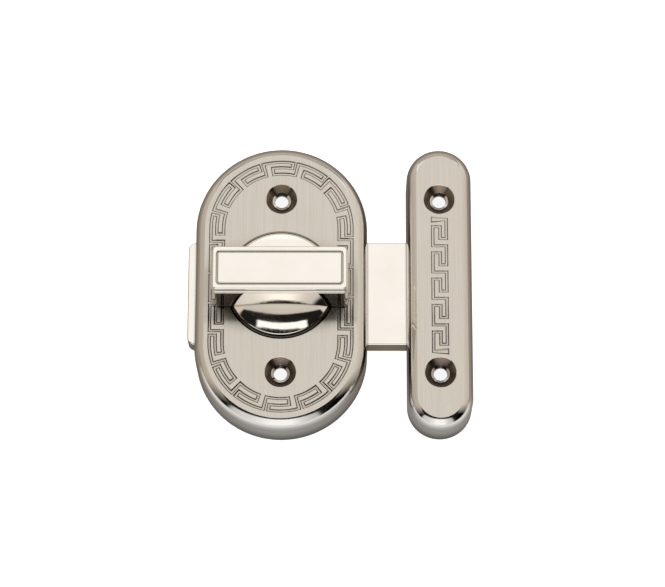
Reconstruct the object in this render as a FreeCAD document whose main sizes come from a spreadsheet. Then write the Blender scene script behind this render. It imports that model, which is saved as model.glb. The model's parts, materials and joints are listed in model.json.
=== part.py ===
import FreeCAD, Part
import math
import os

import Sketcher
from FreeCAD import Vector

# Slide bolt with a thumb turn, lying on its back: +Z points out of the door face,
# +Y is up when it is fitted, and the bolt is thrown along +X.
# The origin is on the thumb turn's axis, in the plane of the back.

document = FreeCAD.newDocument("slide_bolt")

# Driving dimensions, in millimetres unless the name says otherwise.
driving = {
    # case
    "housing_width": 45.0,
    "case_length": 76.6,
    "case_height": 13.5,
    "side_wall": 2.5,
    "face_wall": 3.0,
    "roll_width": 2.5,
    "roll_depth": 3.7,
    # screw holes of the case and the keeper
    "screw_spacing": 47.0,
    "screw_hole_diameter": 3.5,
    "countersink_mouth": 8.1,
    "countersink_throat": 4.8,
    "throat_depth": 0.35,
    # keeper
    "keeper_width": 17.0,
    "keeper_length": 76.2,
    "keeper_distance": 10.4,
    # bolt and the bay that guides it
    "bolt_width": 28.0,
    "bolt_drop": 0.4,
    "bolt_tail": 2.1,
    "bolt_engagement": 7.0,
    "bolt_tail_corner": 2.0,
    "bolt_nose_corner": 1.0,
    "bolt_edge_round": 0.4,
    "slide_gap": 0.15,
    "lift_gap": 0.05,
    "crank_gap": 0.45,
    "rib_thickness": 2.2,
    # back plate and its screws
    "plate_thickness": 1.0,
    "plate_gap": 0.3,
    "plate_corner": 3.0,
    "plate_margin": 0.3,
    "plate_screw_offset": 14.0,
    "plate_screw_diameter": 2.0,
    "plate_screw_head": 3.8,
    "plate_screw_length": 7.0,
    "plate_screw_slot": 0.5,
    "plate_screw_boss": 3.9,
    "pilot_spare": 0.5,
    # thumb turn
    "dome_diameter": 27.3,
    "dome_rise": 3.1,
    "dome_edge": 0.7,
    "dome_edge_round": 0.3,
    "recess_gap": 0.55,
    "recess_depth": 0.4,
    "grip_rise": 15.0,
    "grip_clearance": 0.5,
    "block_round": 0.4,
    "rim_length": 34.4,
    "rim_width": 11.5,
    "rim_height": 1.3,
    "rim_corner": 1.1,
    "rim_round": 0.4,
    "rim_foot_round": 0.2,
    "reed_swell": 0.3,
    "reed_height": 0.85,
    "reed_round": 0.3,
    "reed_groove_height": 0.15,
    "reed_groove_depth": 0.6,
    "panel_length": 31.6,
    "panel_width": 8.2,
    "panel_corner": 0.5,
    "panel_round": 0.3,
    "panel_groove_width": 0.4,
    "panel_groove_depth": 0.45,
    "panel_groove_round": 0.25,
    # spindle, bush and washers
    "spigot_diameter": 9.0,
    "running_gap": 0.05,
    "press_gap": 0.02,
    "bush_wall": 1.45,
    "bush_flange_diameter": 13.6,
    "bush_flange_height": 0.6,
    "seat_washer_diameter": 24.0,
    "seat_washer_height": 0.3,
    "square_side": 5.0,
    "square_reach": 12.0,
    "spring_washer_diameter": 13.0,
    "spring_washer_sheet": 0.3,
    "spring_washer_cone": 0.25,
    # crank
    "crank_radius": 8.5,
    "crank_half_swing_deg": 45.0,
    "crank_thickness": 1.8,
    "crank_hub_diameter": 13.0,
    "crank_arm_width": 8.4,
    "crank_pin_diameter": 5.0,
    "crank_rivet_diameter": 3.4,
    "slot_play": 0.3,
    "slot_end_play": 0.4,
    "crank_screw_diameter": 3.0,
    "crank_screw_head": 5.5,
    "crank_screw_head_height": 1.7,
    "crank_screw_length": 6.5,
    "crank_screw_slot": 0.7,
    "crank_washer_diameter": 7.0,
    "crank_washer_height": 0.5,
    "relief_gap": 0.3,
    "stop_diameter": 2.4,
    "stop_gap": 0.1,
    # leaf spring under the bolt
    "leaf_width": 4.0,
    "leaf_length": 18.0,
    "leaf_rise": 0.85,
    "leaf_sheet": 0.25,
    "leaf_tab": 4.0,
    "leaf_inset": 4.4,
    "leaf_gap": 0.3,
    "leaf_touch_gap": 0.1,
    "rivet_diameter": 1.5,
    "rivet_head_diameter": 2.8,
    "rivet_head_height": 0.5,
    # engraved key
    "key_inset": 4.05,
    "key_end_inset": 0.4,
    "key_band": 3.3,
    "key_line_width": 0.72,
    "key_depth": 0.3,
    "key_pitch_radius": 16.0,
    "key_lead": 0.25,
    "keeper_key_pitch": 7.18,
    "keeper_key_band": 3.55,
}

# Counts and shares of the key pattern: the two runs are shares of one cell's pitch.
housing_key_cells = 20
keeper_key_cells = 5
key_middle_share = 0.46
housing_key_runs = (0.855, 0.25)
keeper_key_runs = (0.724, 0.268)

# How far a cutting tool reaches past the face that it opens.
beyond = "1"

sheet = document.addObject("Spreadsheet::Sheet", "sizes")
for row, (alias, number) in enumerate(driving.items(), start=1):
    cell = "A%d" % row
    sheet.set(cell, str(number))
    sheet.setAlias(cell, alias)
document.recompute()

# Places and sizes that follow from the driving ones.
places = document.addObject("App::VarSet", "places")


def derive(name, expression):
    places.addProperty("App::PropertyFloat", name)
    places.setExpression(name, expression)
    places.recompute()


def value(reference):
    owner, name = reference.split(".")
    return float(getattr(document.getObject(owner), name))


derive("housing_radius", "sizes.housing_width / 2")
derive("housing_straight", "sizes.case_length - sizes.housing_width")
derive("key_straight", "places.housing_straight - 2 * sizes.key_end_inset")
derive("keeper_radius", "sizes.keeper_width / 2")
derive("keeper_straight", "sizes.keeper_length - sizes.keeper_width")
derive("keeper_x", "places.housing_radius + sizes.keeper_distance + places.keeper_radius")
derive("wall_top", "sizes.case_height - sizes.roll_depth")
derive("ceiling", "sizes.case_height - sizes.face_wall")
derive("sink_depth", "(sizes.countersink_mouth - sizes.countersink_throat) / 2")
derive("bolt_left", "-places.housing_radius - sizes.bolt_tail")
derive("bolt_right", "places.keeper_x - places.keeper_radius + sizes.bolt_engagement")
derive("bolt_high", "sizes.bolt_width / 2 - sizes.bolt_drop")
derive("bolt_low", "-sizes.bolt_width / 2 - sizes.bolt_drop")
derive("channel_high", "places.bolt_high + sizes.slide_gap")
derive("channel_low", "places.bolt_low - sizes.slide_gap")
derive("channel_width", "places.channel_high - places.channel_low")
derive("boss_y", "-places.channel_low + sizes.plate_screw_boss / 2")
derive("plate_length", "sizes.housing_width - 2 * sizes.side_wall - 2 * sizes.plate_gap")
derive("plate_width", "2 * (places.boss_y + sizes.plate_screw_head / 2 + sizes.plate_margin)")
derive("recess_floor", "sizes.case_height - sizes.recess_depth")
derive("dome_bottom", "places.recess_floor + sizes.seat_washer_height + sizes.running_gap")
derive("dome_radius", "sizes.dome_diameter / 2")
derive("dome_shoulder", "places.dome_bottom + sizes.dome_edge")
derive("dome_crown", "places.dome_shoulder + sizes.dome_rise")
derive("recess_radius", "places.dome_radius + sizes.recess_gap")
derive("spigot_radius", "sizes.spigot_diameter / 2")
derive("bush_radius", "places.spigot_radius + sizes.running_gap + sizes.bush_wall")
derive("bush_bottom", "places.ceiling - sizes.bush_flange_height")
derive("crank_top", "places.bush_bottom - sizes.running_gap - sizes.spring_washer_sheet"
       " - sizes.spring_washer_cone")
derive("crank_bottom", "places.crank_top - sizes.crank_thickness")
derive("bolt_bottom", "sizes.plate_thickness + sizes.lift_gap")
derive("bolt_top", "places.crank_bottom - sizes.crank_gap")
derive("bolt_thickness", "places.bolt_top - places.bolt_bottom")
derive("channel_top", "places.bolt_top + sizes.slide_gap")
derive("crank_washer_bottom", "places.crank_bottom - sizes.crank_washer_height")
derive("crank_head_bottom", "places.crank_washer_bottom - sizes.crank_screw_head_height")
derive("pin_x", "sizes.crank_radius * sin(sizes.crank_half_swing_deg)")
derive("pin_y", "sizes.crank_radius * cos(sizes.crank_half_swing_deg)")
derive("throw", "2 * places.pin_x")
derive("slot_left", "places.pin_x - sizes.crank_pin_diameter / 2 - sizes.slot_play")
derive("slot_right", "places.pin_x + sizes.crank_pin_diameter / 2 + sizes.slot_play")
derive("slot_low", "places.pin_y - sizes.crank_pin_diameter / 2 - sizes.slot_end_play")
derive("slot_high", "sizes.crank_radius + sizes.crank_pin_diameter / 2 + sizes.slot_end_play")
derive("relief_high", "sizes.crank_washer_diameter / 2 + sizes.relief_gap")
derive("relief_low", "-places.relief_high")
derive("relief_right", "places.relief_high + places.throw")
derive("relief_floor", "places.crank_head_bottom - sizes.relief_gap")
derive("relief_depth", "places.bolt_top - places.relief_floor")
derive("stop_bottom", "places.bolt_top + sizes.relief_gap")
derive("stop_turn_deg", "asin((sizes.crank_arm_width / 2 + sizes.stop_diameter / 2"
       " + sizes.stop_gap) / sizes.crank_radius) / 1 deg + sizes.crank_half_swing_deg")
derive("stop_x", "sizes.crank_radius * sin(places.stop_turn_deg)")
derive("stop_y", "sizes.crank_radius * cos(places.stop_turn_deg)")
derive("grip_bottom", "sizes.case_height + sizes.grip_clearance")
derive("grip_top", "sizes.case_height + sizes.grip_rise")
derive("rim_bottom", "places.grip_top - sizes.rim_height")
derive("reed_top", "places.rim_bottom - sizes.reed_groove_height")
derive("reed_bottom", "places.reed_top - sizes.reed_height")
derive("block_top", "places.reed_bottom - sizes.reed_groove_height")
derive("block_height", "places.block_top - places.grip_bottom")
derive("reed_length", "sizes.rim_length + 2 * sizes.reed_swell")
derive("reed_width", "sizes.rim_width + 2 * sizes.reed_swell")
derive("reed_corner", "sizes.rim_corner + sizes.reed_swell")
derive("neck_length", "places.reed_length - 2 * sizes.reed_groove_depth")
derive("neck_width", "places.reed_width - 2 * sizes.reed_groove_depth")
derive("neck_corner", "places.reed_corner - sizes.reed_groove_depth")
derive("valley_length", "sizes.panel_length + 2 * sizes.panel_groove_width")
derive("valley_width", "sizes.panel_width + 2 * sizes.panel_groove_width")
derive("valley_corner", "sizes.panel_corner + sizes.panel_groove_width")
derive("leaf_radius", "(sizes.leaf_length * sizes.leaf_length / 4"
       " + sizes.leaf_rise * sizes.leaf_rise) / (2 * sizes.leaf_rise)")
derive("leaf_top", "sizes.plate_thickness + sizes.leaf_rise + sizes.leaf_sheet")
derive("leaf_left", "-sizes.leaf_length / 2 - sizes.leaf_tab")
derive("rivet_x", "-sizes.leaf_length / 2 - sizes.leaf_tab / 2")
derive("groove_left", "places.leaf_left - sizes.leaf_gap")
derive("groove_right", "sizes.leaf_length / 2 + places.throw + sizes.leaf_gap")
derive("leaf_y", "places.bolt_low + sizes.leaf_inset")
derive("groove_low", "places.leaf_y - sizes.leaf_width / 2 - sizes.leaf_gap")
derive("groove_high", "places.leaf_y + sizes.leaf_width / 2 + sizes.leaf_gap")
derive("groove_depth", "places.leaf_top + sizes.leaf_touch_gap - places.bolt_bottom")
document.recompute()


# Small helpers for the primitives.

def bind(thing, **expressions):
    for name, expression in expressions.items():
        thing.setExpression(name, expression)


def put(thing, x="0", y="0", z="0"):
    for axis, expression in zip("xyz", (x, y, z)):
        thing.setExpression("Placement.Base." + axis, expression)
    return thing


def block(name, length, width, height, x="0", y="0", z="0"):
    made = document.addObject("Part::Box", name)
    bind(made, Length=length, Width=width, Height=height)
    return put(made, x, y, z)


def cylinder(name, radius, height, x="0", y="0", z="0"):
    made = document.addObject("Part::Cylinder", name)
    bind(made, Radius=radius, Height=height)
    return put(made, x, y, z)


def cone(name, low_radius, high_radius, height, x="0", y="0", z="0"):
    made = document.addObject("Part::Cone", name)
    bind(made, Radius1=low_radius, Radius2=high_radius, Height=height)
    return put(made, x, y, z)


def union(name, pieces):
    made = document.addObject("Part::MultiFuse", name)
    made.Shapes = pieces
    return made


def cut(name, base, tool):
    made = document.addObject("Part::Cut", name)
    made.Base = base
    made.Tool = tool
    return made


def ring(name, outer_radius, inner_radius, height, z):
    outside = cylinder(name + "_outside", outer_radius, height, z=z)
    bore = cylinder(name + "_bore", inner_radius, height, z=z)
    return cut(name, outside, bore)


# Small helpers for bodies and their sketches.

def body_named(name):
    return document.addObject("PartDesign::Body", name)


def origin_feature(body, role):
    for feature in body.Origin.OriginFeatures:
        if feature.Role == role:
            return feature
    raise ValueError("no origin feature " + role)


def sketch_on(body, name, role="XY_Plane", lift=None):
    sketch = body.newObject("Sketcher::SketchObject", name)
    sketch.AttachmentSupport = [(origin_feature(body, role), "")]
    sketch.MapMode = "FlatFace"
    if lift:
        sketch.setExpression("AttachmentOffset.Base.z", lift)
    return sketch


def hold(sketch, kind, name, expression, *where):
    """Adds one named dimension that follows an expression."""
    index = sketch.addConstraint(Sketcher.Constraint(kind, *where))
    sketch.renameConstraint(index, name)
    sketch.setExpression("Constraints." + name, expression)


def pin_point(sketch, line, end, name, x, y):
    """Holds one end of a line at x, y, measured from the sketch's origin."""
    if x == "0":
        sketch.addConstraint(Sketcher.Constraint("PointOnObject", line, end, -2))
    else:
        hold(sketch, "DistanceX", name + "_x", x, -1, 1, line, end, value_now(sketch, line, end).x)
    if y == "0":
        sketch.addConstraint(Sketcher.Constraint("PointOnObject", line, end, -1))
    else:
        hold(sketch, "DistanceY", name + "_y", y, -1, 1, line, end, value_now(sketch, line, end).y)


def value_now(sketch, line, end):
    return sketch.getPoint(line, end)


def polygon(sketch, points):
    """Closed outline through points, each a pair of expressions."""
    count = len(points)
    turn = 2 * math.pi / count
    spots = [Vector(math.cos(turn * k), math.sin(turn * k), 0) for k in range(count)]
    for k in range(count):
        sketch.addGeometry(Part.LineSegment(spots[k], spots[(k + 1) % count]))
    for k in range(count):
        sketch.addConstraint(Sketcher.Constraint("Coincident", k, 2, (k + 1) % count, 1))
    for k, (x, y) in enumerate(points):
        pin_point(sketch, k, 1, "corner_%d" % k, x, y)


def rectangle(sketch, left, right, low, high):
    polygon(sketch, [(left, low), (right, low), (right, high), (left, high)])


def rounded_rectangle(sketch, length, width, corner):
    """Rectangle about the sketch's origin with four equal round corners."""
    radius = value(corner)
    arm_x = value(length) / 2 - radius
    arm_y = value(width) / 2 - radius
    quarters = [(1, 1), (-1, 1), (-1, -1), (1, -1)]
    for k, (side_x, side_y) in enumerate(quarters):
        circle = Part.Circle(Vector(side_x * arm_x, side_y * arm_y, 0), Vector(0, 0, 1), radius)
        start = k * math.pi / 2
        sketch.addGeometry(Part.ArcOfCircle(circle, start, start + math.pi / 2))
    for k in range(4):
        start = sketch.getPoint(k, 2)
        end = sketch.getPoint((k + 1) % 4, 1)
        sketch.addGeometry(Part.LineSegment(start, end))
    for k in range(4):
        sketch.addConstraint(Sketcher.Constraint("Tangent", k, 2, 4 + k, 1))
        sketch.addConstraint(Sketcher.Constraint("Tangent", 4 + k, 2, (k + 1) % 4, 1))
        direction = "Horizontal" if k % 2 == 0 else "Vertical"
        sketch.addConstraint(Sketcher.Constraint(direction, 4 + k))
    for k in range(1, 4):
        sketch.addConstraint(Sketcher.Constraint("Equal", 0, k))
    sketch.addConstraint(Sketcher.Constraint("Symmetric", 0, 3, 2, 3, -1, 1))
    hold(sketch, "Radius", "corner", corner, 0, radius)
    hold(sketch, "DistanceX", "length", length, 5, 1, 7, 1, value(length))
    hold(sketch, "DistanceY", "width", width, 6, 1, 4, 1, value(width))


def pad(body, name, sketch, length):
    made = body.newObject("PartDesign::Pad", name)
    made.Profile = sketch
    made.setExpression("Length", length)
    return made


def pocket(body, name, sketch, depth=None, upward=False):
    before = body.Tip
    document.recompute()
    made = body.newObject("PartDesign::Pocket", name)
    made.Profile = sketch
    if depth:
        made.setExpression("Length", depth)
    else:
        made.Type = "ThroughAll"
    made.Reversed = upward
    document.recompute()
    if made.Shape.Volume >= before.Shape.Volume:
        raise ValueError(name + " cuts nothing")
    return made


def fillet(body, name, radius, chosen):
    """Rounds the edges of the body's last feature that the test chooses."""
    document.recompute()
    base = body.Tip
    picked = []
    for number, edge in enumerate(base.Shape.Edges, start=1):
        if chosen(edge):
            picked.append("Edge%d" % number)
    if not picked:
        raise ValueError(name + " finds no edges")
    made = body.newObject("PartDesign::Fillet", name)
    made.Base = (base, picked)
    made.setExpression("Radius", radius)
    document.recompute()
    if made.Shape.isNull() or not made.isValid():
        raise ValueError(name + " fails")
    return made


def middle(edge):
    return edge.valueAt((edge.FirstParameter + edge.LastParameter) / 2)


def lies_at(edge, height):
    box = edge.BoundBox
    return abs(box.ZMin - height) < 1e-4 and abs(box.ZMax - height) < 1e-4


def upright(edge):
    box = edge.BoundBox
    return box.ZLength > 1e-3 and box.XLength < 1e-6 and box.YLength < 1e-6


# Case and keeper share one cast form: a stadium whose face edge rolls over to the sides.

def rolled_profile(sketch, half_width):
    """Half of the cross section: base, side, the arc that rolls over to the face, and face."""
    side = value(half_width)
    roll = value("sizes.roll_width")
    depth = value("sizes.roll_depth")
    wall_top = value("places.wall_top")
    face = value("sizes.case_height")
    radius = (roll ** 2 + depth ** 2) / (2 * roll)
    circle = Part.Circle(Vector(side - radius, wall_top, 0), Vector(0, 0, 1), radius)
    sketch.addGeometry(Part.LineSegment(Vector(0, 0, 0), Vector(side, 0, 0)))
    sketch.addGeometry(Part.LineSegment(Vector(side, 0, 0), Vector(side, wall_top, 0)))
    sketch.addGeometry(Part.ArcOfCircle(circle, 0, math.atan2(depth, radius - roll)))
    sketch.addGeometry(Part.LineSegment(Vector(side - roll, face, 0), Vector(0, face, 0)))
    sketch.addGeometry(Part.LineSegment(Vector(0, face, 0), Vector(0, 0, 0)))
    sketch.addConstraint(Sketcher.Constraint("Coincident", 0, 1, -1, 1))
    sketch.addConstraint(Sketcher.Constraint("Coincident", 0, 2, 1, 1))
    sketch.addConstraint(Sketcher.Constraint("Tangent", 1, 2, 2, 1))
    sketch.addConstraint(Sketcher.Constraint("Coincident", 2, 2, 3, 1))
    sketch.addConstraint(Sketcher.Constraint("Coincident", 3, 2, 4, 1))
    sketch.addConstraint(Sketcher.Constraint("Coincident", 4, 2, 0, 1))
    sketch.addConstraint(Sketcher.Constraint("Horizontal", 0))
    sketch.addConstraint(Sketcher.Constraint("Vertical", 1))
    sketch.addConstraint(Sketcher.Constraint("Horizontal", 3))
    sketch.addConstraint(Sketcher.Constraint("Vertical", 4))
    hold(sketch, "DistanceX", "half_width", half_width, -1, 1, 0, 2, side)
    hold(sketch, "DistanceX", "roll_width", "sizes.roll_width", 3, 1, 1, 1, roll)
    hold(sketch, "DistanceY", "wall_top", "places.wall_top", -1, 1, 1, 2, wall_top)
    hold(sketch, "DistanceY", "face", "sizes.case_height", -1, 1, 4, 1, face)


def mirrored(body, name, original, role):
    made = body.newObject("PartDesign::Mirrored", name)
    made.Originals = [original]
    made.MirrorPlane = (origin_feature(body, role), [""])
    body.Tip = made
    return made


def rolled_casting(name, half_width, straight, x="0"):
    """The outer form: a straight middle and two half-round ends."""
    body = body_named(name)
    section = sketch_on(body, name + "_section", "XZ_Plane")
    rolled_profile(section, half_width)
    centre = pad(body, name + "_centre", section, straight)
    centre.Midplane = True
    mirrored(body, name + "_other_side", centre, "YZ_Plane")
    end_section = sketch_on(body, name + "_end_section", "XZ_Plane", straight + " / 2")
    rolled_profile(end_section, half_width)
    end = body.newObject("PartDesign::Revolution", name + "_end")
    end.Profile = end_section
    end.ReferenceAxis = (end_section, ["V_Axis"])
    end.Angle = 180
    end.Reversed = True
    mirrored(body, name + "_other_end", end, "XZ_Plane")
    body.setExpression("Placement.Base.x", x)
    return body


def stadium_block(name, radius, straight, height, x, z):
    """A plain stadium prism, used as a cutting tool."""
    middle_block = block(name + "_middle", "2 * " + radius, straight, height,
                         x + " - " + radius, "-" + straight + " / 2", z)
    upper = cylinder(name + "_upper", radius, height, x, straight + " / 2", z)
    lower = cylinder(name + "_lower", radius, height, x, "-" + straight + " / 2", z)
    return union(name, [middle_block, upper, lower])


def screw_hole(name, x, y):
    """Countersunk hole through the face: mouth cone, a shallower throat and the shank hole."""
    mouth = cone(name + "_mouth", "sizes.countersink_throat / 2",
                 "sizes.countersink_mouth / 2 + " + beyond,
                 "places.sink_depth + " + beyond, x, y,
                 "sizes.case_height - places.sink_depth")
    throat = cone(name + "_throat", "sizes.screw_hole_diameter / 2",
                  "sizes.countersink_throat / 2", "sizes.throat_depth", x, y,
                  "sizes.case_height - places.sink_depth - sizes.throat_depth")
    shank = cylinder(name + "_shank", "sizes.screw_hole_diameter / 2",
                     "sizes.face_wall - places.sink_depth - sizes.throat_depth + " + beyond,
                     x, y, "places.ceiling - " + beyond)
    return union(name, [mouth, throat, shank])


# The engraved key is one channel that runs on without a break.

def key_corners(cells, pitch, runs, inner, outer):
    """Corners of the channel's middle line, as (along, out) pairs."""
    long_run, short_run = runs
    centre = outer - key_middle_share * (outer - inner)
    corners = []
    for cell in range(cells):
        start = cell * pitch
        corners.append((start, inner))
        corners.append((start, outer))
        corners.append((start + long_run * pitch, outer))
        corners.append((start + long_run * pitch, centre))
        corners.append((start + short_run * pitch, centre))
        corners.append((start + short_run * pitch, inner))
    return corners


def direction(start, end):
    along = end[0] - start[0]
    out = end[1] - start[1]
    size = math.hypot(along, out)
    return along / size, out / size


def shifted(before, corner, after, shift):
    """The corner moved to the left of the path by shift, on both of its runs."""
    first = direction(before, corner)
    second = direction(corner, after)
    along = corner[0] - shift * (first[1] + second[1])
    out = corner[1] + shift * (first[0] + second[0])
    return along, out


def on_stadium(along, out, straight, pitch_radius):
    """Point of the border: along the pitch line clockwise from the top, out from the spine."""
    quarter = math.pi * pitch_radius / 2
    total = 4 * quarter + 2 * straight
    along = along % total
    if along < quarter:
        angle = along / pitch_radius
        return Vector(out * math.sin(angle), straight / 2 + out * math.cos(angle), 0)
    if along < quarter + straight:
        return Vector(out, straight / 2 - (along - quarter), 0)
    if along < 3 * quarter + straight:
        angle = (along - straight) / pitch_radius
        return Vector(out * math.sin(angle), -straight / 2 + out * math.cos(angle), 0)
    if along < 3 * quarter + 2 * straight:
        return Vector(-out, -straight / 2 + (along - 3 * quarter - straight), 0)
    angle = (along - 2 * straight) / pitch_radius
    return Vector(out * math.sin(angle), straight / 2 + out * math.cos(angle), 0)


def border_edges(start, end, straight, pitch_radius):
    """Edges of one run of the border, split where the straight sides meet the round ends."""
    if abs(start[0] - end[0]) < 1e-9:
        return [Part.makeLine(on_stadium(*start, straight, pitch_radius),
                              on_stadium(*end, straight, pitch_radius))]
    quarter = math.pi * pitch_radius / 2
    total = 4 * quarter + 2 * straight
    joints = [quarter, quarter + straight, 3 * quarter + straight, 3 * quarter + 2 * straight]
    low, high = sorted((start[0], end[0]))
    stops = [low]
    for lap in (-1, 0, 1):
        stops += [joint + lap * total for joint in joints if low < joint + lap * total < high]
    stops.append(high)
    stops.sort()
    if start[0] > end[0]:
        stops.reverse()
    edges = []
    for first, last in zip(stops, stops[1:]):
        half_way = (first + last) / 2
        points = [on_stadium(nudged, start[1], straight, pitch_radius)
                  for nudged in (first, half_way, last)]
        chord = points[2] - points[0]
        bulge = (points[1] - points[0]).cross(chord).Length / chord.Length
        if bulge < 1e-6:
            edges.append(Part.makeLine(points[0], points[2]))
        else:
            edges.append(Part.Arc(*points).toShape())
    return edges


def housing_key_tool():
    """Cutter for the border on the case, closed on itself."""
    straight = value("places.key_straight")
    pitch_radius = value("sizes.key_pitch_radius")
    outer = value("places.housing_radius") - value("sizes.key_inset")
    inner = outer - value("sizes.key_band")
    total = 2 * math.pi * pitch_radius + 2 * straight
    pitch = total / housing_key_cells
    # half a cell back and a little more, so that one cell sits on the top of the case
    first = -pitch / 2 - value("sizes.key_lead")
    corners = [(along + first, out) for along, out in
               key_corners(housing_key_cells, pitch, housing_key_runs, inner, outer)]
    before = [(corners[-1][0] - total, corners[-1][1])] + corners[:-1]
    after = corners[1:] + [(corners[0][0] + total, corners[0][1])]
    wires = []
    for shift in (0.5, -0.5):
        side = [shifted(a, b, c, shift * value("sizes.key_line_width"))
                for a, b, c in zip(before, corners, after)]
        closed = side + [(side[0][0] + total, side[0][1])]
        edges = []
        for start, end in zip(closed, closed[1:]):
            edges += border_edges(start, end, straight, pitch_radius)
        wires.append(Part.Wire(edges))
    return engraving(wires)


def keeper_key_tool():
    """Cutter for the strip on the keeper, open at both ends, running down its middle."""
    pitch = value("sizes.keeper_key_pitch")
    half_band = value("sizes.keeper_key_band") / 2
    corners = key_corners(keeper_key_cells, pitch, keeper_key_runs, -half_band, half_band)
    corners.append((keeper_key_cells * pitch, -half_band))
    corners.append((keeper_key_cells * pitch, half_band))
    line = value("sizes.key_line_width")
    ahead = (corners[-1][0], corners[-1][1] + 1)
    behind = (corners[0][0], corners[0][1] - 1)
    path = [behind] + corners + [ahead]
    sides = []
    for shift in (0.5, -0.5):
        side = [shifted(a, b, c, shift * line) for a, b, c in zip(path, corners, path[2:])]
        # both end caps reach half a line past the band, like the channel's other corners
        side[0] = (side[0][0], side[0][1] - line / 2)
        side[-1] = (side[-1][0], side[-1][1] + line / 2)
        sides.append(side)
    outline = sides[0] + list(reversed(sides[1]))
    centre = value("places.keeper_x")
    top = keeper_key_cells * pitch / 2
    points = [Vector(centre + out, top - along, 0) for along, out in outline]
    return engraving([Part.makePolygon(points + points[:1])])


def engraving(wires):
    face = Part.makeFace(wires, "Part::FaceMakerBullseye")
    depth = value("sizes.key_depth")
    face.translate(Vector(0, 0, value("sizes.case_height") - depth))
    return face.extrude(Vector(0, 0, 2 * depth))


def shaped(name, shape):
    made = document.addObject("Part::Feature", name)
    made.Shape = shape
    return made


sub_parts = []


def finished(thing, label):
    thing.Label = label
    sub_parts.append(thing)
    return thing


# Housing: hollow casting, open at the back, with two ribs that guide the bolt,
# four bosses for the back plate and two posts that stop the crank.

def make_housing():
    outer = rolled_casting("housing_form", "places.housing_radius", "places.housing_straight")
    hollow = stadium_block("housing_hollow", "(places.housing_radius - sizes.side_wall)",
                           "places.housing_straight", "places.ceiling + " + beyond,
                           "0", "-" + beyond)
    kept = []
    rib_height = "places.ceiling - sizes.plate_thickness + " + beyond
    lower_rib = "places.channel_low - sizes.rib_thickness"
    for side, low in (("upper", "places.channel_high"), ("lower", lower_rib)):
        kept.append(block("rib_" + side, "sizes.housing_width", "sizes.rib_thickness",
                          rib_height, "-places.housing_radius", low, "sizes.plate_thickness"))
    for number, (sign_x, sign_y) in enumerate(plate_screw_sides, start=1):
        kept.append(cylinder("boss_%d" % number, "sizes.plate_screw_boss / 2", rib_height,
                             sign_x + "sizes.plate_screw_offset", sign_y + "places.boss_y",
                             "sizes.plate_thickness"))
    for side, sign in (("right", ""), ("left", "-")):
        kept.append(cylinder("stop_" + side, "sizes.stop_diameter / 2",
                             "places.ceiling - places.stop_bottom + " + beyond,
                             sign + "places.stop_x", "places.stop_y", "places.stop_bottom"))
    cavity = cut("housing_cavity", hollow, union("housing_kept", kept))
    tools = [cavity]
    tools.append(block("bolt_way", "sizes.housing_width + 2 * " + beyond,
                       "places.channel_width", "places.channel_top + " + beyond,
                       "-places.housing_radius - " + beyond, "places.channel_low",
                       "-" + beyond))
    tools.append(cone("dome_recess", "places.recess_radius",
                      "places.recess_radius + 2 * sizes.recess_depth",
                      "2 * sizes.recess_depth", z="places.recess_floor"))
    tools.append(cylinder("bush_hole", "places.bush_radius + sizes.press_gap",
                          "sizes.face_wall + " + beyond, z="places.ceiling - " + beyond))
    for side, sign in (("upper", ""), ("lower", "-")):
        tools.append(screw_hole("housing_screw_hole_" + side, "0",
                                sign + "sizes.screw_spacing / 2"))
    for number, (sign_x, sign_y) in enumerate(plate_screw_sides, start=1):
        tools.append(cylinder("pilot_%d" % number,
                              "sizes.plate_screw_diameter / 2 + sizes.press_gap",
                              "sizes.plate_screw_length + sizes.pilot_spare",
                              sign_x + "sizes.plate_screw_offset",
                              sign_y + "places.boss_y"))
    tools.append(shaped("housing_key", housing_key_tool()))
    return cut("housing", outer, union("housing_tools", tools))


# Keeper: the same casting, narrower, open on the side that the bolt enters.

def make_keeper():
    outer = rolled_casting("keeper_form", "places.keeper_radius", "places.keeper_straight",
                           "places.keeper_x")
    hollow = stadium_block("keeper_hollow", "(places.keeper_radius - sizes.side_wall)",
                           "places.keeper_straight", "places.ceiling + " + beyond,
                           "places.keeper_x", "-" + beyond)
    tools = [hollow]
    tools.append(block("keeper_mouth", "places.keeper_radius + " + beyond,
                       "places.channel_width", "places.channel_top + " + beyond,
                       "places.keeper_x - places.keeper_radius - " + beyond,
                       "places.channel_low", "-" + beyond))
    for side, sign in (("upper", ""), ("lower", "-")):
        tools.append(screw_hole("keeper_screw_hole_" + side, "places.keeper_x",
                                sign + "sizes.screw_spacing / 2"))
    tools.append(shaped("keeper_key", keeper_key_tool()))
    return cut("keeper", outer, union("keeper_tools", tools))


# Back plate: flat steel plate under the ribs, held by four small countersunk screws.

plate_screw_sides = (("", ""), ("-", ""), ("-", "-"), ("", "-"))


def make_back_plate():
    body = body_named("plate_blank")
    outline = sketch_on(body, "plate_outline")
    rounded_rectangle(outline, "places.plate_length", "places.plate_width", "sizes.plate_corner")
    pad(body, "plate_sheet", outline, "sizes.plate_thickness")
    tools = []
    clearance = "2 * sizes.press_gap"
    head = "(sizes.plate_screw_head / 2 + sizes.press_gap + " + clearance + ")"
    shank = "(sizes.plate_screw_diameter / 2 + " + clearance + ")"
    for number, (sign_x, sign_y) in enumerate(plate_screw_sides, start=1):
        x = sign_x + "sizes.plate_screw_offset"
        y = sign_y + "places.boss_y"
        sink = cone("plate_sink_%d" % number, head, shank, head + " - " + shank, x, y)
        hole = cylinder("plate_hole_%d" % number, shank, "sizes.plate_thickness + " + beyond,
                        x, y)
        tools.append(union("plate_screw_hole_%d" % number, [sink, hole]))
    tools.append(cylinder("plate_rivet_hole", "sizes.rivet_diameter / 2 + sizes.press_gap",
                          "sizes.plate_thickness + 2 * " + beyond, "places.rivet_x",
                          "places.leaf_y", "-" + beyond))
    return cut("back_plate", body, union("plate_tools", tools))


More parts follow.
